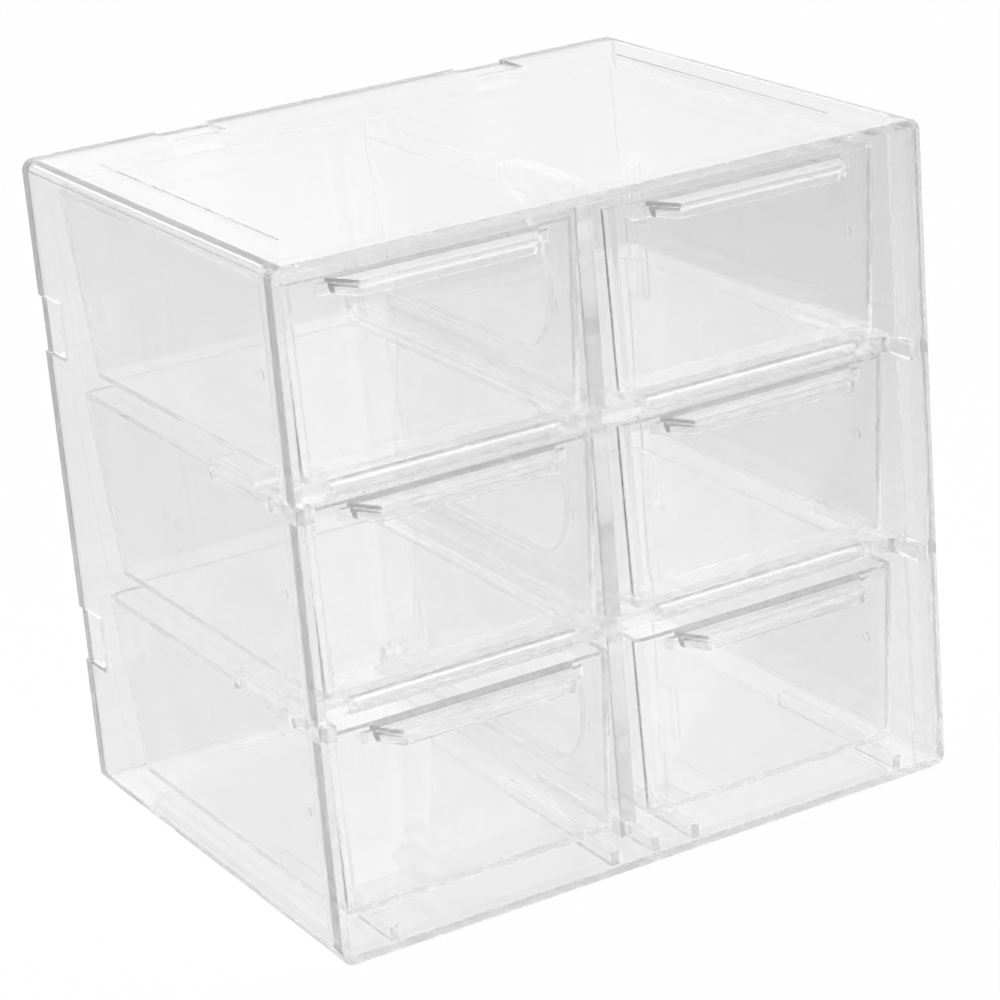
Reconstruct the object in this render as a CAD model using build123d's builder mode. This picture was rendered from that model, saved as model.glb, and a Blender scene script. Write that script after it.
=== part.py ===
import os

from build123d import *

os.makedirs("parts", exist_ok=True)

# Overall box, with the front facing -Y and the floor at Z = 0
case_width = 190.0
case_depth = 148.0
case_height = 184.0
bottom_pitch = 60.0
middle_pitch = 57.7

# Clearances: pieces that are put together, pieces that slide, and the overrun of cuts
fit = 0.2
run_gap = 0.3
overrun = 1.0

# Case: a moulded sleeve, open at the front and the back
wall = 2.4
inner_corner_radius = 0.8
rim_round_share = 0.12
bead_depth = 9.0
bead_thickness = 1.9
floor_rib_width = 2.4
floor_rib_height = 4.0
floor_rib_length = 56.0
floor_rib_setback = 1.2
runner_inset = 7.0
groove_width = 0.9
groove_depth = 0.4
groove_inset = 13.5
groove_setback = 22.0
groove_length = 104.0

# Back panel, hooked into notches of the sleeve's rear edge
back_thickness = 2.4
notch_width = 16.5
notch_depth = 11.5
notch_place_share = 0.25
hook_gap = 4.0
hook_inset = 0.8
socket_depth = 5.0
socket_wall = 1.6

# Centre divider: a post and a rail for each tier, all one web
post_thickness = 5.0
post_round_share = 0.1
window_setback = 30.0
rail_height = 8.0
web_drop = 7.0
ledge_reach = 6.5
ledge_thickness = 2.0

# Crossbars: a bar with a rounded nose under each column and an arm along each side wall
bar_setback = 14.0
bar_depth = 10.0
bar_height = 4.2
bar_drop = 1.3
nose_wall = 1.6
lap_share = 0.5
arm_thickness = 2.8
arm_setback = 1.2
arm_length = 47.5
runner_width = 9.0
gusset_radius = 4.0
peg_diameter = 2.4
peg_recess = 0.6
front_peg_setback = 12.8
rear_peg_setback = 2.2

# Drawers: tapered trays
drawer_setback = 10.0
drawer_side_gap = 1.4
drawer_top_gap = 0.4
drawer_back_gap = 5.0
drawer_wall = 1.8
drawer_front_wall = 2.2
drawer_floor = 2.0
side_draft = 1.8
front_draft = 1.2
back_draft = 8.0
front_corner_radius = 2.8
back_corner_radius = 5.0
foot_bevel = 0.8
gate_mark_setback = 23.5
gate_mark_diameter = 2.8
gate_mark_sides = 8
gate_mark_proud = 0.4
gate_mark_place_share = 0.515

# Pulls: a stepped plate flush with the drawer's rim, a lip under its edge and a brace at its root
pull_projection = 9.3
pull_end_gap = 11.2
pull_end_slant = 5.2
pull_step = 0.8
pull_step_height = 1.0
pull_plate_height = 1.2
lip_wall = 2.0
lip_count = 3
lip_step = 0.2
lip_height = 0.6
brace_reach = 1.5
brace_overhang = 2.2
brace_drop = 1.0
brace_height = 3.0

# Places that follow from the sizes above
front = -case_depth / 2
sleeve_depth = case_depth - back_thickness
sleeve_back = front + sleeve_depth
corner_radius = inner_corner_radius + wall
inner_half = case_width / 2 - wall
ceiling = case_height - wall
floor_support = wall + floor_rib_height
supports = [floor_support, floor_support + bottom_pitch, floor_support + bottom_pitch + middle_pitch]
tier_count = len(supports)
bar_tops = [level - bar_drop for level in supports]
bar_front = front + bar_setback
bar_back = bar_front + bar_depth
lap_line = bar_front + bar_depth * lap_share
side_shares = (-1, 1)
notch_places = [side * case_width * notch_place_share for side in side_shares]
notch_levels = [case_height / 2 + side * case_height * notch_place_share for side in side_shares]
notch_middle = sleeve_back - notch_depth / 2
beam_end = sleeve_back - socket_depth - fit
arm_front = front + arm_setback
arm_back = arm_front + arm_length
peg_places = [arm_front + front_peg_setback, arm_back - rear_peg_setback]

column_inner = post_thickness / 2 + drawer_side_gap
column_outer = inner_half - fit - arm_thickness - drawer_side_gap
column_centre = (column_inner + column_outer) / 2
drawer_width = column_outer - column_inner
drawer_depth = sleeve_depth - drawer_setback - drawer_back_gap
nose_height = bar_drop + bar_height
drawer_height = middle_pitch - nose_height - run_gap - drawer_top_gap
runner_half = drawer_width / 2 - side_draft - runner_inset
runner_places = [side * column_centre + end * runner_half for side in side_shares for end in side_shares]

column_names = ("left", "right")
tier_names = ("bottom", "middle", "top")


# Case
with BuildPart() as case:
    with BuildSketch(Plane.XZ.offset(-front)):
        with Locations((0, case_height / 2)):
            RectangleRounded(case_width, case_height, corner_radius)
            RectangleRounded(
                2 * inner_half, case_height - 2 * wall, inner_corner_radius, mode=Mode.SUBTRACT
            )
    extrude(amount=-sleeve_depth)
    rim_face = case.faces().sort_by(Axis.Y)[0]
    fillet(rim_face.outer_wire().edges(), wall * rim_round_share)
    rim_face = case.faces().sort_by(Axis.Y)[0]
    chamfer(rim_face.inner_wires()[0].edges(), wall * rim_round_share)

    # Ramp that thickens both side walls behind the front rim, broken where the crossbars pass
    for tier in range(tier_count):
        bead_foot = bar_tops[tier] + fit if tier else wall
        bead_head = ceiling
        if tier + 1 < tier_count:
            bead_head = bar_tops[tier + 1] - bar_height - fit
        with BuildSketch(Plane.XY.offset(bead_foot)):
            for side in side_shares:
                with BuildLine():
                    Polyline(
                        (side * (inner_half + wall / 2), front + wall * rim_round_share),
                        (side * inner_half, front + wall * rim_round_share),
                        (side * (inner_half - bead_thickness), front + bead_depth),
                        (side * (inner_half + wall / 2), front + bead_depth),
                        close=True,
                    )
                make_face()
        extrude(amount=bead_head - bead_foot)

    # Ribs on the floor that carry the bottom drawers, and one that locates the divider
    for place in runner_places + [0]:
        with Locations((place, front + floor_rib_setback, wall)):
            Box(
                floor_rib_width,
                floor_rib_length,
                floor_rib_height,
                align=(Align.CENTER, Align.MIN, Align.MIN),
            )

    # Notches in the rear edge: two in the top and the floor, two in each side
    with BuildSketch(Plane.XY.offset(case_height + overrun)):
        with Locations(*[(place, notch_middle + overrun / 2) for place in notch_places]):
            Rectangle(notch_width, notch_depth + overrun)
    extrude(amount=-(case_height + 2 * overrun), mode=Mode.SUBTRACT)
    with BuildSketch(Plane.YZ.offset(-case_width / 2 - overrun)):
        with Locations(*[(notch_middle + overrun / 2, level) for level in notch_levels]):
            Rectangle(notch_depth + overrun, notch_width)
    extrude(amount=case_width + 2 * overrun, mode=Mode.SUBTRACT)

    # Holes for the pegs of the crossbars
    with BuildSketch(Plane.YZ.offset(-case_width / 2 - overrun)):
        for level in bar_tops[1:]:
            with Locations(*[(place, level - bar_height / 2) for place in peg_places]):
                Circle(peg_diameter / 2 + fit)
    extrude(amount=case_width + 2 * overrun, mode=Mode.SUBTRACT)

    # Fine grooves along the top, one near each side
    with BuildSketch(Plane.XY.offset(case_height)):
        for side in side_shares:
            with Locations((side * (case_width / 2 - groove_inset), front + groove_setback)):
                Rectangle(groove_width, groove_length, align=(Align.CENTER, Align.MIN))
    extrude(amount=-groove_depth, mode=Mode.SUBTRACT)

case.part.label = "case"
export_step(case.part, "parts/case.step")


# Back panel
hook_length = notch_depth - hook_gap
hook_width = notch_width - 2 * fit
hook_thickness = wall - hook_inset

with BuildPart() as back_panel:
    with BuildSketch(Plane.XZ.offset(-sleeve_back)):
        with Locations((0, case_height / 2)):
            RectangleRounded(case_width, case_height, corner_radius)
    extrude(amount=-back_thickness)

    # The edge is recessed at each hook, so that the hook's outer face runs through to the back
    for level in (0, case_height):
        with Locations(*[(place, sleeve_back, level) for place in notch_places]):
            Box(hook_width, 2 * (back_thickness + overrun), 2 * hook_inset, mode=Mode.SUBTRACT)
    for place in (-case_width / 2, case_width / 2):
        with Locations(*[(place, sleeve_back, level) for level in notch_levels]):
            Box(2 * hook_inset, 2 * (back_thickness + overrun), hook_width, mode=Mode.SUBTRACT)

    # Hooks that reach forward into the notches of the sleeve
    hook_middle = hook_inset + hook_thickness / 2
    hook_align = (Align.CENTER, Align.MAX, Align.CENTER)
    for level in (hook_middle, case_height - hook_middle):
        with Locations(*[(place, sleeve_back, level) for place in notch_places]):
            Box(hook_width, hook_length, hook_thickness, align=hook_align)
    for place in (hook_middle - case_width / 2, case_width / 2 - hook_middle):
        with Locations(*[(place, sleeve_back, level) for level in notch_levels]):
            Box(hook_thickness, hook_length, hook_width, align=hook_align)

    # Sockets that hold the rear ends of the divider's rails
    for level in supports:
        with BuildSketch(Plane.XZ.offset(-sleeve_back)):
            with Locations((0, level + rail_height / 2)):
                RectangleRounded(
                    post_thickness + 2 * (fit + socket_wall),
                    rail_height + 2 * (fit + socket_wall),
                    socket_wall,
                )
                Rectangle(post_thickness + 2 * fit, rail_height + 2 * fit, mode=Mode.SUBTRACT)
        extrude(amount=socket_depth)

back_panel.part.label = "back_panel"
export_step(back_panel.part, "parts/back_panel.step")


# Centre divider
post_top = ceiling - fit
tongue_end = sleeve_back - fit
window_radius = (middle_pitch - rail_height - web_drop) / 2
window_front = front + window_setback
window_centre = window_front + window_radius

with BuildPart() as centre_divider:
    with BuildSketch(Plane.YZ.offset(-post_thickness / 2)):
        with Locations((bar_front, wall)):
            Rectangle(beam_end - bar_front, post_top - wall, align=(Align.MIN, Align.MIN))
        for level in supports:
            with Locations((window_centre, level + rail_height + window_radius)):
                Circle(window_radius, mode=Mode.SUBTRACT)
                Rectangle(
                    beam_end - window_centre + overrun,
                    2 * window_radius,
                    align=(Align.MIN, Align.CENTER),
                    mode=Mode.SUBTRACT,
                )
        # Nothing reaches back above the top tier's window
        with Locations((window_centre, supports[-1] + rail_height + window_radius)):
            Rectangle(
                beam_end - window_centre + overrun,
                post_top + overrun - supports[-1] - rail_height - window_radius,
                align=(Align.MIN, Align.MIN),
                mode=Mode.SUBTRACT,
            )
        # Tongues that plug into the sockets of the back panel
        for level in supports:
            with Locations((beam_end - overrun, level)):
                Rectangle(tongue_end - beam_end + overrun, rail_height, align=(Align.MIN, Align.MIN))
    extrude(amount=post_thickness)
    front_edges = centre_divider.faces().sort_by(Axis.Y)[0].edges().filter_by(Axis.Z)
    fillet(front_edges, post_thickness * post_round_share)

    # Ledges beside the rails, on which the inner edges of the drawers run
    for level in supports[1:]:
        with BuildSketch(Plane.XY.offset(level)):
            with Locations((0, bar_back + fit)):
                Rectangle(
                    post_thickness + 2 * ledge_reach,
                    beam_end - bar_back - fit,
                    align=(Align.CENTER, Align.MIN),
                )
        extrude(amount=-ledge_thickness)

    # Half laps for the crossbars
    for level in bar_tops[1:]:
        with Locations((0, bar_front - overrun, level + fit)):
            Box(
                post_thickness + 2 * overrun,
                lap_line - bar_front + fit + overrun,
                bar_height + 2 * fit,
                align=(Align.CENTER, Align.MIN, Align.MAX),
                mode=Mode.SUBTRACT,
            )

    # Slot over the middle rib of the floor
    with Locations((0, bar_front - overrun, wall - overrun)):
        Box(
            floor_rib_width + 2 * fit,
            front + floor_rib_setback + floor_rib_length + fit - bar_front + overrun,
            floor_rib_height + fit + overrun,
            align=(Align.CENTER, Align.MIN, Align.MIN),
            mode=Mode.SUBTRACT,
        )

centre_divider.part.label = "centre_divider"
export_step(centre_divider.part, "parts/centre_divider.step")


# Crossbars
arm_outer = inner_half - fit
arm_inner = arm_outer - arm_thickness
peg_length = case_width / 2 - peg_recess - arm_outer

for name, level in {"lower_crossbar": supports[1], "upper_crossbar": supports[2]}.items():
    bar_top = level - bar_drop
    with BuildPart() as crossbar:
        with BuildSketch(Plane.XY.offset(bar_top)) as frame:
            with Locations((0, bar_front)):
                Rectangle(2 * arm_outer, bar_depth, align=(Align.CENTER, Align.MIN))
            for side in side_shares:
                with Locations((side * (arm_inner + arm_thickness / 2), arm_front)):
                    Rectangle(arm_thickness, arm_length, align=(Align.CENTER, Align.MIN))
            corners = [
                corner
                for corner in frame.vertices()
                if abs(abs(corner.X) - arm_inner) < fit and bar_front - fit < corner.Y < bar_back + fit
            ]
            fillet(corners, gusset_radius)
            with Locations((0, lap_line)):
                Rectangle(
                    post_thickness + 2 * fit,
                    bar_depth,
                    align=(Align.CENTER, Align.MIN),
                    mode=Mode.SUBTRACT,
                )
        extrude(amount=-bar_height)

        # Runners that carry the outer edges of the drawers behind the bar
        with BuildSketch(Plane.XY.offset(level)):
            for side in side_shares:
                with Locations((side * (arm_outer - runner_width / 2), bar_back)):
                    Rectangle(runner_width, arm_back - bar_back, align=(Align.CENTER, Align.MIN))
        extrude(amount=-(bar_drop + ledge_thickness))

        # Thicker stretch with a rounded nose under the front of each column, hollow from behind
        nose_inside = nose_height / 2 - nose_wall
        for side in side_shares:
            with BuildSketch(Plane.YZ.offset(side * column_centre - runner_half)):
                with Locations((bar_front, level - nose_height / 2)):
                    Circle(nose_height / 2)
                    Rectangle(bar_depth, nose_height, align=(Align.MIN, Align.CENTER))
            extrude(amount=2 * runner_half)
            with BuildSketch(Plane.YZ.offset(side * column_centre - runner_half + nose_wall)):
                with Locations((bar_front, level - nose_height / 2)):
                    Circle(nose_inside)
                    Rectangle(bar_depth + overrun, 2 * nose_inside, align=(Align.MIN, Align.CENTER))
            extrude(amount=2 * (runner_half - nose_wall), mode=Mode.SUBTRACT)

        # Pegs that sit in the holes of the side walls
        for side in side_shares:
            with BuildSketch(Plane.YZ.offset(side * arm_outer)):
                with Locations(*[(place, bar_top - bar_height / 2) for place in peg_places]):
                    Circle(peg_diameter / 2)
            extrude(amount=side * peg_length)

    crossbar.part.label = name
    export_step(crossbar.part, f"parts/{name}.step")


# Drawers: a block tapered on all four sides, from its front view crossed with its side view
def tray_block(middle, low, high):
    low_level, low_half, low_front, low_back = low
    high_level, high_half, high_front, high_back = high
    with BuildPart() as block:
        with BuildSketch(Plane.XZ.offset(overrun - high_front)):
            with BuildLine():
                Polyline(
                    (middle - low_half, low_level),
                    (middle + low_half, low_level),
                    (middle + high_half, high_level),
                    (middle - high_half, high_level),
                    close=True,
                )
            make_face()
        extrude(amount=high_front - high_back - 2 * overrun)
        with BuildSketch(Plane.YZ.offset(middle - high_half - overrun)):
            with BuildLine():
                Polyline(
                    (low_front, low_level),
                    (low_back, low_level),
                    (high_back, high_level),
                    (high_front, high_level),
                    close=True,
                )
            make_face()
        extrude(amount=2 * (high_half + overrun), mode=Mode.INTERSECT)
    return block.part


def uprights(block):
    faces = block.faces().sort_by(Axis.Z)
    level_edges = faces[0].edges() + faces[-1].edges()
    return block.edges().filter_by(lambda edge: edge not in level_edges).sort_by(Axis.Y)


rim_half = drawer_width / 2
foot_half = rim_half - side_draft
rim_front = front + drawer_setback
foot_front = rim_front + front_draft
rim_back = rim_front + drawer_depth
foot_back = rim_back - back_draft
floor_share = drawer_floor / drawer_height
pull_root_half = rim_half - pull_end_gap
pull_tip_half = pull_root_half - pull_end_slant
pull_tip = rim_front - pull_projection
brace_half = pull_root_half + brace_overhang


# Pulls and their braces share one outline: a strip that narrows from its root in the front wall to its tip
def pull_outline(middle, root_half, tip_half, tip):
    root = rim_front + drawer_front_wall / 2
    with BuildSketch() as outline:
        with BuildLine():
            Polyline(
                (middle - root_half, root),
                (middle - root_half, rim_front),
                (middle - tip_half, tip),
                (middle + tip_half, tip),
                (middle + root_half, rim_front),
                (middle + root_half, root),
                close=True,
            )
        make_face()
    return outline.sketch


def inset_outline(middle, inset):
    return pull_outline(middle, pull_root_half - inset, pull_tip_half - inset, pull_tip + inset)


for tier, tier_name in enumerate(tier_names):
    for column_name, side in zip(column_names, side_shares):
        name = f"{tier_name}_{column_name}_drawer"
        middle = side * column_centre
        foot = supports[tier] + run_gap
        rim = foot + drawer_height
        shell = tray_block(
            middle, (foot, foot_half, foot_front, foot_back), (rim, rim_half, rim_front, rim_back)
        )
        # The hollow keeps the walls of the taper even
        hollow_foot = (
            foot + drawer_floor,
            foot_half + side_draft * floor_share - drawer_wall,
            foot_front - front_draft * floor_share + drawer_front_wall,
            foot_back + back_draft * floor_share - drawer_wall,
        )
        hollow_rim = (rim, rim_half - drawer_wall, rim_front + drawer_front_wall, rim_back - drawer_wall)
        with BuildPart() as hollow:
            add(tray_block(middle, hollow_foot, hollow_rim))
            fillet(uprights(hollow)[-2:], back_corner_radius - drawer_wall)
            fillet(uprights(hollow)[:2], front_corner_radius - drawer_wall)
        with BuildPart() as drawer:
            add(shell)
            fillet(uprights(drawer)[-2:], back_corner_radius)
            fillet(uprights(drawer)[:2], front_corner_radius)
            chamfer(drawer.faces().sort_by(Axis.Z)[0].edges(), foot_bevel)
            add(hollow.part, mode=Mode.SUBTRACT)

            # Pull: the upper step, the plate, then a lip in fine steps that leaves it hollow underneath
            with BuildSketch(Plane.XY.offset(rim)):
                add(inset_outline(middle, pull_step))
            extrude(amount=-pull_step_height)
            with BuildSketch(Plane.XY.offset(rim - pull_step_height)):
                add(inset_outline(middle, 0))
            extrude(amount=-pull_plate_height)
            lip_top = rim - pull_step_height - pull_plate_height
            for step in range(lip_count):
                with BuildSketch(Plane.XY.offset(lip_top - step * lip_height)):
                    add(inset_outline(middle, (step + 1) * lip_step))
                    add(inset_outline(middle, lip_wall), mode=Mode.SUBTRACT)
                extrude(amount=-lip_height)
            with BuildSketch(Plane.XY.offset(rim - brace_drop)):
                add(pull_outline(middle, brace_half, brace_half - brace_reach, rim_front - brace_reach))
            extrude(amount=-brace_height)

            # Round gate marks on both side walls
            mark_level = foot + drawer_height * gate_mark_place_share
            mark_side = foot_half + side_draft * gate_mark_place_share - drawer_wall / 2
            for end in side_shares:
                with BuildSketch(Plane.YZ.offset(middle + end * mark_side)):
                    with Locations((front + gate_mark_setback, mark_level)):
                        RegularPolygon(gate_mark_diameter / 2, gate_mark_sides)
                extrude(amount=end * (drawer_wall / 2 + gate_mark_proud))

        drawer.part.label = name
        export_step(drawer.part, f"parts/{name}.step")
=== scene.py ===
import math

import bpy
from mathutils import Matrix, Vector

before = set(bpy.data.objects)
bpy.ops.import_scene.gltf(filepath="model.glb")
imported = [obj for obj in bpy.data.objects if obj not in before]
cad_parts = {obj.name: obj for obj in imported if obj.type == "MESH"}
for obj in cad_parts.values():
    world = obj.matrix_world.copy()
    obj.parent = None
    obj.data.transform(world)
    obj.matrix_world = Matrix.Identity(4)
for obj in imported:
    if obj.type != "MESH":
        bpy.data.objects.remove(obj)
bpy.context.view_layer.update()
print("frame loaded:", len(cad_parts), "nodes")


def noise(tree, place, scale, detail, roughness):
    node = tree.nodes.new("ShaderNodeTexNoise")
    node.inputs["Scale"].default_value = scale
    node.inputs["Detail"].default_value = detail
    node.inputs["Roughness"].default_value = roughness
    tree.links.new(place, node.inputs["Vector"])
    return node.outputs["Fac"]


def mapRange(tree, source, fromSpan, toSpan):
    node = tree.nodes.new("ShaderNodeMapRange")
    sockets = ("From Min", "From Max", "To Min", "To Max")
    for socket, value in zip(sockets, (*fromSpan, *toSpan)):
        node.inputs[socket].default_value = value
    tree.links.new(source, node.inputs["Value"])
    return node.outputs["Result"]


def combine(tree, operation, *terms):
    node = tree.nodes.new("ShaderNodeMath")
    node.operation = operation
    for socket, term in zip(node.inputs, terms):
        if isinstance(term, float):
            socket.default_value = term
        else:
            tree.links.new(term, socket)
    return node.outputs["Value"]


def mixShaders(tree, share, first, second):
    node = tree.nodes.new("ShaderNodeMixShader")
    if isinstance(share, float):
        node.inputs["Fac"].default_value = share
    else:
        tree.links.new(share, node.inputs["Fac"])
    tree.links.new(first, node.inputs[1])
    tree.links.new(second, node.inputs[2])
    return node.outputs["Shader"]


# Clear moulded styrene: it bends what is behind it, lets the lamps through
# and has the faint ripple and haze of a moulded wall
caseLook = {
    "name": "clearCase",
    "tint": (0.997, 0.997, 0.997),
    "ior": 1.55,
    "straightTint": (0.99, 0.99, 0.99),
    "straightShare": 0.1,  # how much passes the thin walls without bending
    "lampTint": (0.995, 0.995, 0.995),
    "rippleScale": 22.0,  # waves per metre left by the cooling walls
    "rippleDetail": 0.0,
    "rippleRoughness": 0.5,
    "rippleStrength": 0.35,
    "rippleHeight": 0.00005,
    "hazeScale": 60.0,  # handling marks, in patches
    "hazeDetail": 2.0,
    "hazeRoughness": 0.7,
    "hazeSpan": (0.35, 0.75),  # the part of the pattern that shows
    "hazeLow": 0.005,
    "hazeHigh": 0.03,
    "absorbPerMetre": 1.8,  # greys the long way through a wall, edge to edge
}
backLook = dict(
    caseLook,
    name="clearBack",
    rippleScale=18.0,
    absorbPerMetre=0.8,
)
frameLook = dict(
    caseLook,
    name="clearFrame",
    straightShare=0.16,
    rippleScale=30.0,
    hazeLow=0.1,
    hazeHigh=0.16,
    absorbPerMetre=0.0,
)
drawerLook = dict(
    caseLook,
    name="clearDrawer",
    straightTint=(0.995, 0.995, 0.995),
    rippleScale=26.0,
    absorbPerMetre=0.3,
)


def clearPlastic(look):
    material = bpy.data.materials.new(look["name"])
    material.use_nodes = True
    tree = material.node_tree
    nodes, links = tree.nodes, tree.links
    nodes.clear()
    place = nodes.new("ShaderNodeTexCoord").outputs["Object"]

    ripple = noise(tree, place, look["rippleScale"], look["rippleDetail"], look["rippleRoughness"])
    bump = nodes.new("ShaderNodeBump")
    bump.inputs["Strength"].default_value = look["rippleStrength"]
    bump.inputs["Distance"].default_value = look["rippleHeight"]
    links.new(ripple, bump.inputs["Height"])

    patches = noise(tree, place, look["hazeScale"], look["hazeDetail"], look["hazeRoughness"])
    haze = mapRange(tree, patches, look["hazeSpan"], (look["hazeLow"], look["hazeHigh"]))

    body = nodes.new("ShaderNodeBsdfPrincipled")
    body.inputs["Base Color"].default_value = (*look["tint"], 1.0)
    body.inputs["IOR"].default_value = look["ior"]
    body.inputs["Transmission Weight"].default_value = 1.0
    links.new(haze, body.inputs["Roughness"])
    links.new(bump.outputs["Normal"], body.inputs["Normal"])

    straight = nodes.new("ShaderNodeBsdfTransparent")
    straight.inputs["Color"].default_value = (*look["straightTint"], 1.0)
    wall = mixShaders(tree, look["straightShare"], body.outputs["BSDF"], straight.outputs["BSDF"])

    lampPass = nodes.new("ShaderNodeBsdfTransparent")  # lamps reach what is behind
    lampPass.inputs["Color"].default_value = (*look["lampTint"], 1.0)
    toLamp = nodes.new("ShaderNodeLightPath").outputs["Is Shadow Ray"]
    surface = mixShaders(tree, toLamp, wall, lampPass.outputs["BSDF"])

    absorb = nodes.new("ShaderNodeVolumeAbsorption")
    absorb.inputs["Color"].default_value = (0.0, 0.0, 0.0, 1.0)
    absorb.inputs["Density"].default_value = look["absorbPerMetre"]

    out = nodes.new("ShaderNodeOutputMaterial")
    links.new(surface, out.inputs["Surface"])
    links.new(absorb.outputs["Volume"], out.inputs["Volume"])
    return material


looks = {
    "case": clearPlastic(caseLook),
    "back_panel": clearPlastic(backLook),
    "frame": clearPlastic(frameLook),
    "drawer": clearPlastic(drawerLook),
}
for nodeName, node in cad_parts.items():
    if nodeName in looks:
        kind = nodeName
    else:
        kind = "drawer" if nodeName.endswith("drawer") else "frame"
    for slot in node.material_slots:
        slot.material = looks[kind]
print("materials on:", sorted(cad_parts))


# Floor that reads white to the camera with a soft shadow,
# and grey where it is seen through the plastic or mirrored in it, with painted shade making that
# grey darker to the right
floorLook = {
    "size": 12.0,
    "gapBelow": 0.0004,  # the air under the box
    "colour": (0.93, 0.93, 0.93),
    "whiteShare": 0.97,
    "throughShare": 0.85,  # how evenly the floor glows behind the plastic
    "throughLevel": 0.87,
    "paintedShadeLevel": 0.68,
    "paintedShadeFromX": 0.14,  # painted shade: the glow seen through the plastic darkens to the right
    "paintedShadeToX": 0.36,
}
bpy.ops.object.select_all(action="DESELECT")
bpy.ops.mesh.primitive_plane_add(
    size=floorLook["size"], location=(0, 0, -floorLook["gapBelow"])
)
floor = bpy.context.object
floor.name = "studioFloor"
floorMaterial = bpy.data.materials.new("paleFloor")
floorMaterial.use_nodes = True
tree = floorMaterial.node_tree
nodes, links = tree.nodes, tree.links
nodes.clear()
paint = nodes.new("ShaderNodeBsdfDiffuse")
paint.inputs["Color"].default_value = (*floorLook["colour"], 1.0)
axes = nodes.new("ShaderNodeSeparateXYZ")
links.new(nodes.new("ShaderNodeTexCoord").outputs["Object"], axes.inputs["Vector"])
# painted shade: the floor's glow behind the plastic falls to a darker level towards the right
level = mapRange(
    tree,
    axes.outputs["X"],
    (floorLook["paintedShadeFromX"], floorLook["paintedShadeToX"]),
    (floorLook["throughLevel"], floorLook["paintedShadeLevel"]),
)
path = nodes.new("ShaderNodeLightPath").outputs
glow = nodes.new("ShaderNodeEmission")
strength = combine(tree, "MAXIMUM", level, path["Is Camera Ray"])
links.new(strength, glow.inputs["Strength"])
seenShare = combine(tree, "MULTIPLY", path["Is Camera Ray"], floorLook["whiteShare"])
viaPlastic = combine(tree, "MAXIMUM", path["Is Transmission Ray"], path["Is Glossy Ray"])
share = combine(tree, "MULTIPLY_ADD", viaPlastic, floorLook["throughShare"], seenShare)
blend = mixShaders(tree, share, paint.outputs["BSDF"], glow.outputs["Emission"])
out = nodes.new("ShaderNodeOutputMaterial")
links.new(blend, out.inputs["Surface"])
floor.data.materials.append(floorMaterial)
print("floor ready")


# Pale surround, a little dimmer on the camera's side, with a bright sheet
# high behind the box that its top and the trays' floors mirror
surround = {
    "bright": 0.704,
    "dim": 0.664,
    "dimFrom": -0.9,
    "brightFrom": 0.15,
    "sheetExtra": 0.56,
    "sheetFromY": 0.2,
    "sheetToY": 0.6,
    "sheetFromZ": 0.0,
    "sheetToZ": 0.25,
}
world = bpy.data.worlds.new("studio")
bpy.context.scene.world = world
world.use_nodes = True
tree = world.node_tree
nodes, links = tree.nodes, tree.links
nodes.clear()
axes = nodes.new("ShaderNodeSeparateXYZ")
links.new(nodes.new("ShaderNodeTexCoord").outputs["Generated"], axes.inputs["Vector"])
shade = mapRange(
    tree,
    axes.outputs["Y"],
    (surround["dimFrom"], surround["brightFrom"]),
    (surround["dim"], surround["bright"]),
)
sheetY = mapRange(
    tree,
    axes.outputs["Y"],
    (surround["sheetFromY"], surround["sheetToY"]),
    (0.0, surround["sheetExtra"]),
)
sheetZ = mapRange(
    tree,
    axes.outputs["Z"],
    (surround["sheetFromZ"], surround["sheetToZ"]),
    (0.0, 1.0),
)
level = combine(tree, "MULTIPLY_ADD", sheetY, sheetZ, shade)
toCamera = nodes.new("ShaderNodeLightPath").outputs["Is Camera Ray"]
sky = nodes.new("ShaderNodeBackground")
sky.inputs["Color"].default_value = (1.0, 1.0, 1.0, 1.0)
seen = combine(tree, "MAXIMUM", level, toCamera)  # the camera itself sees plain white
links.new(seen, sky.inputs["Strength"])
out = nodes.new("ShaderNodeOutputWorld")
links.new(sky.outputs["Background"], out.inputs["Surface"])
print("surround ready")


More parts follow.
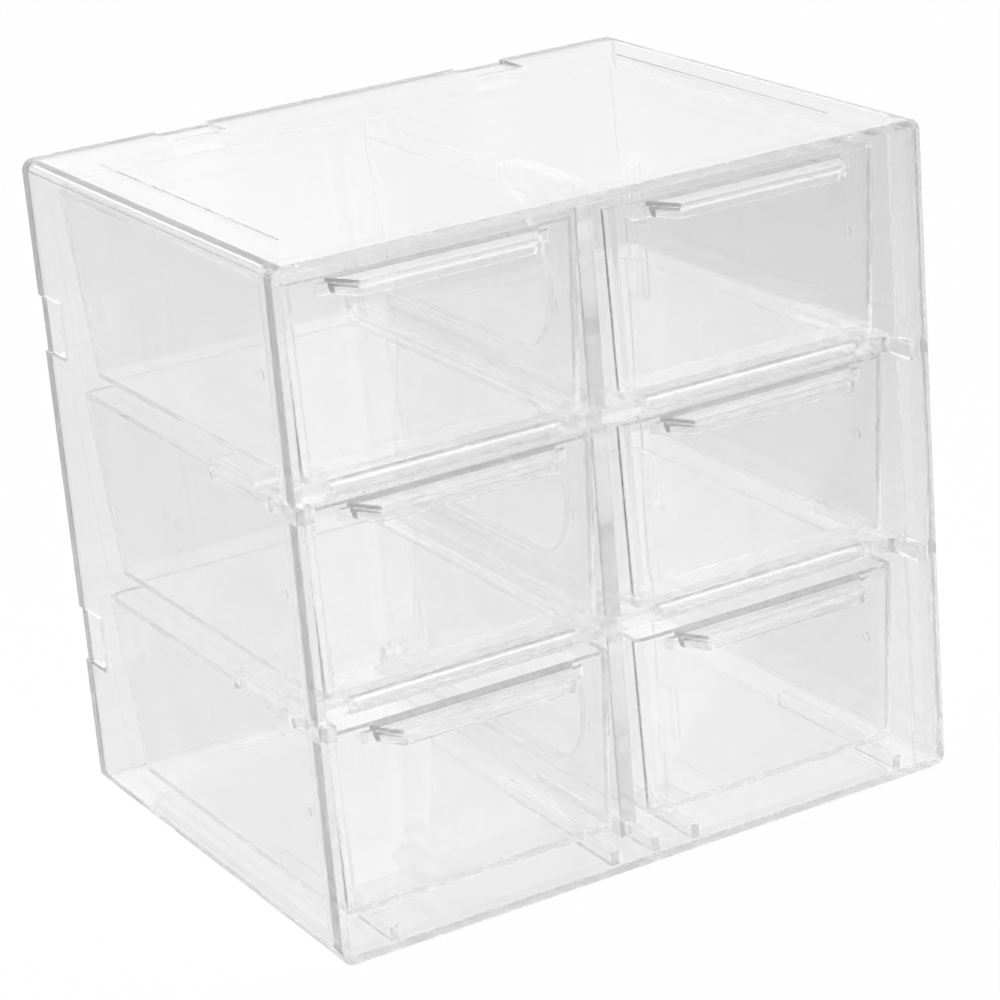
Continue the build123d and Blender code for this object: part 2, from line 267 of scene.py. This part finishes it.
# Lamps, mirrored as bright lines along the edges
lampAim = Vector((0, 0, 0.09))
lampSet = {
    "topBox": {"at": (0.62, -0.55, 1.15), "size": (1.1, 0.9), "power": 16.0},
    "leftStrip": {"at": (-0.9, -0.55, 0.5), "size": (0.05, 0.9), "power": 1.5},
    "rightStrip": {"at": (0.95, -0.6, 0.5), "size": (0.05, 0.9), "power": 1.5},
}
for name, lamp in lampSet.items():
    data = bpy.data.lights.new(name, "AREA")
    data.shape = "RECTANGLE"
    data.size, data.size_y = lamp["size"]
    data.energy = lamp["power"]
    box = bpy.data.objects.new(name, data)
    bpy.context.scene.collection.objects.link(box)
    box.location = lamp["at"]
    box.rotation_euler = (lampAim - box.location).to_track_quat("-Z", "Y").to_euler()
    box.visible_diffuse = False  # only mirrored, so the plain level stays
    box.visible_transmission = False
print("lamps:", list(lampSet))


# Camera, fitted to the corners of the box in the picture
shot = {
    "at": (-0.4298, -0.7784, 0.4037),
    "forward": (0.4564, 0.8221, -0.3404),
    "rollDegrees": -4.877,
    "lens": 123.88,
    "sensor": 36.0,
    "clipEnd": 50.0,
}
forward = Vector(shot["forward"]).normalized()
right = forward.cross(Vector((0, 0, 1))).normalized()
up = right.cross(forward)
roll = math.radians(shot["rollDegrees"])
rollRight = math.cos(roll) * right + math.sin(roll) * up
rollUp = -math.sin(roll) * right + math.cos(roll) * up
turn = Matrix((rollRight, rollUp, -forward)).transposed()
cameraData = bpy.data.cameras.new("photoCamera")
cameraData.sensor_width = shot["sensor"]
cameraData.lens = shot["lens"]
cameraData.clip_end = shot["clipEnd"]
camera = bpy.data.objects.new("photoCamera", cameraData)
bpy.context.scene.collection.objects.link(camera)
camera.matrix_world = Matrix.Translation(shot["at"]) @ turn.to_4x4()
bpy.context.scene.camera = camera

scene = bpy.context.scene
scene.view_settings.view_transform = "Standard"
wallCrossings = 96  # a ray crosses many walls
scene.cycles.max_bounces = wallCrossings
scene.cycles.transmission_bounces = wallCrossings
scene.cycles.glossy_bounces = wallCrossings
scene.cycles.transparent_max_bounces = 128
print("camera set")
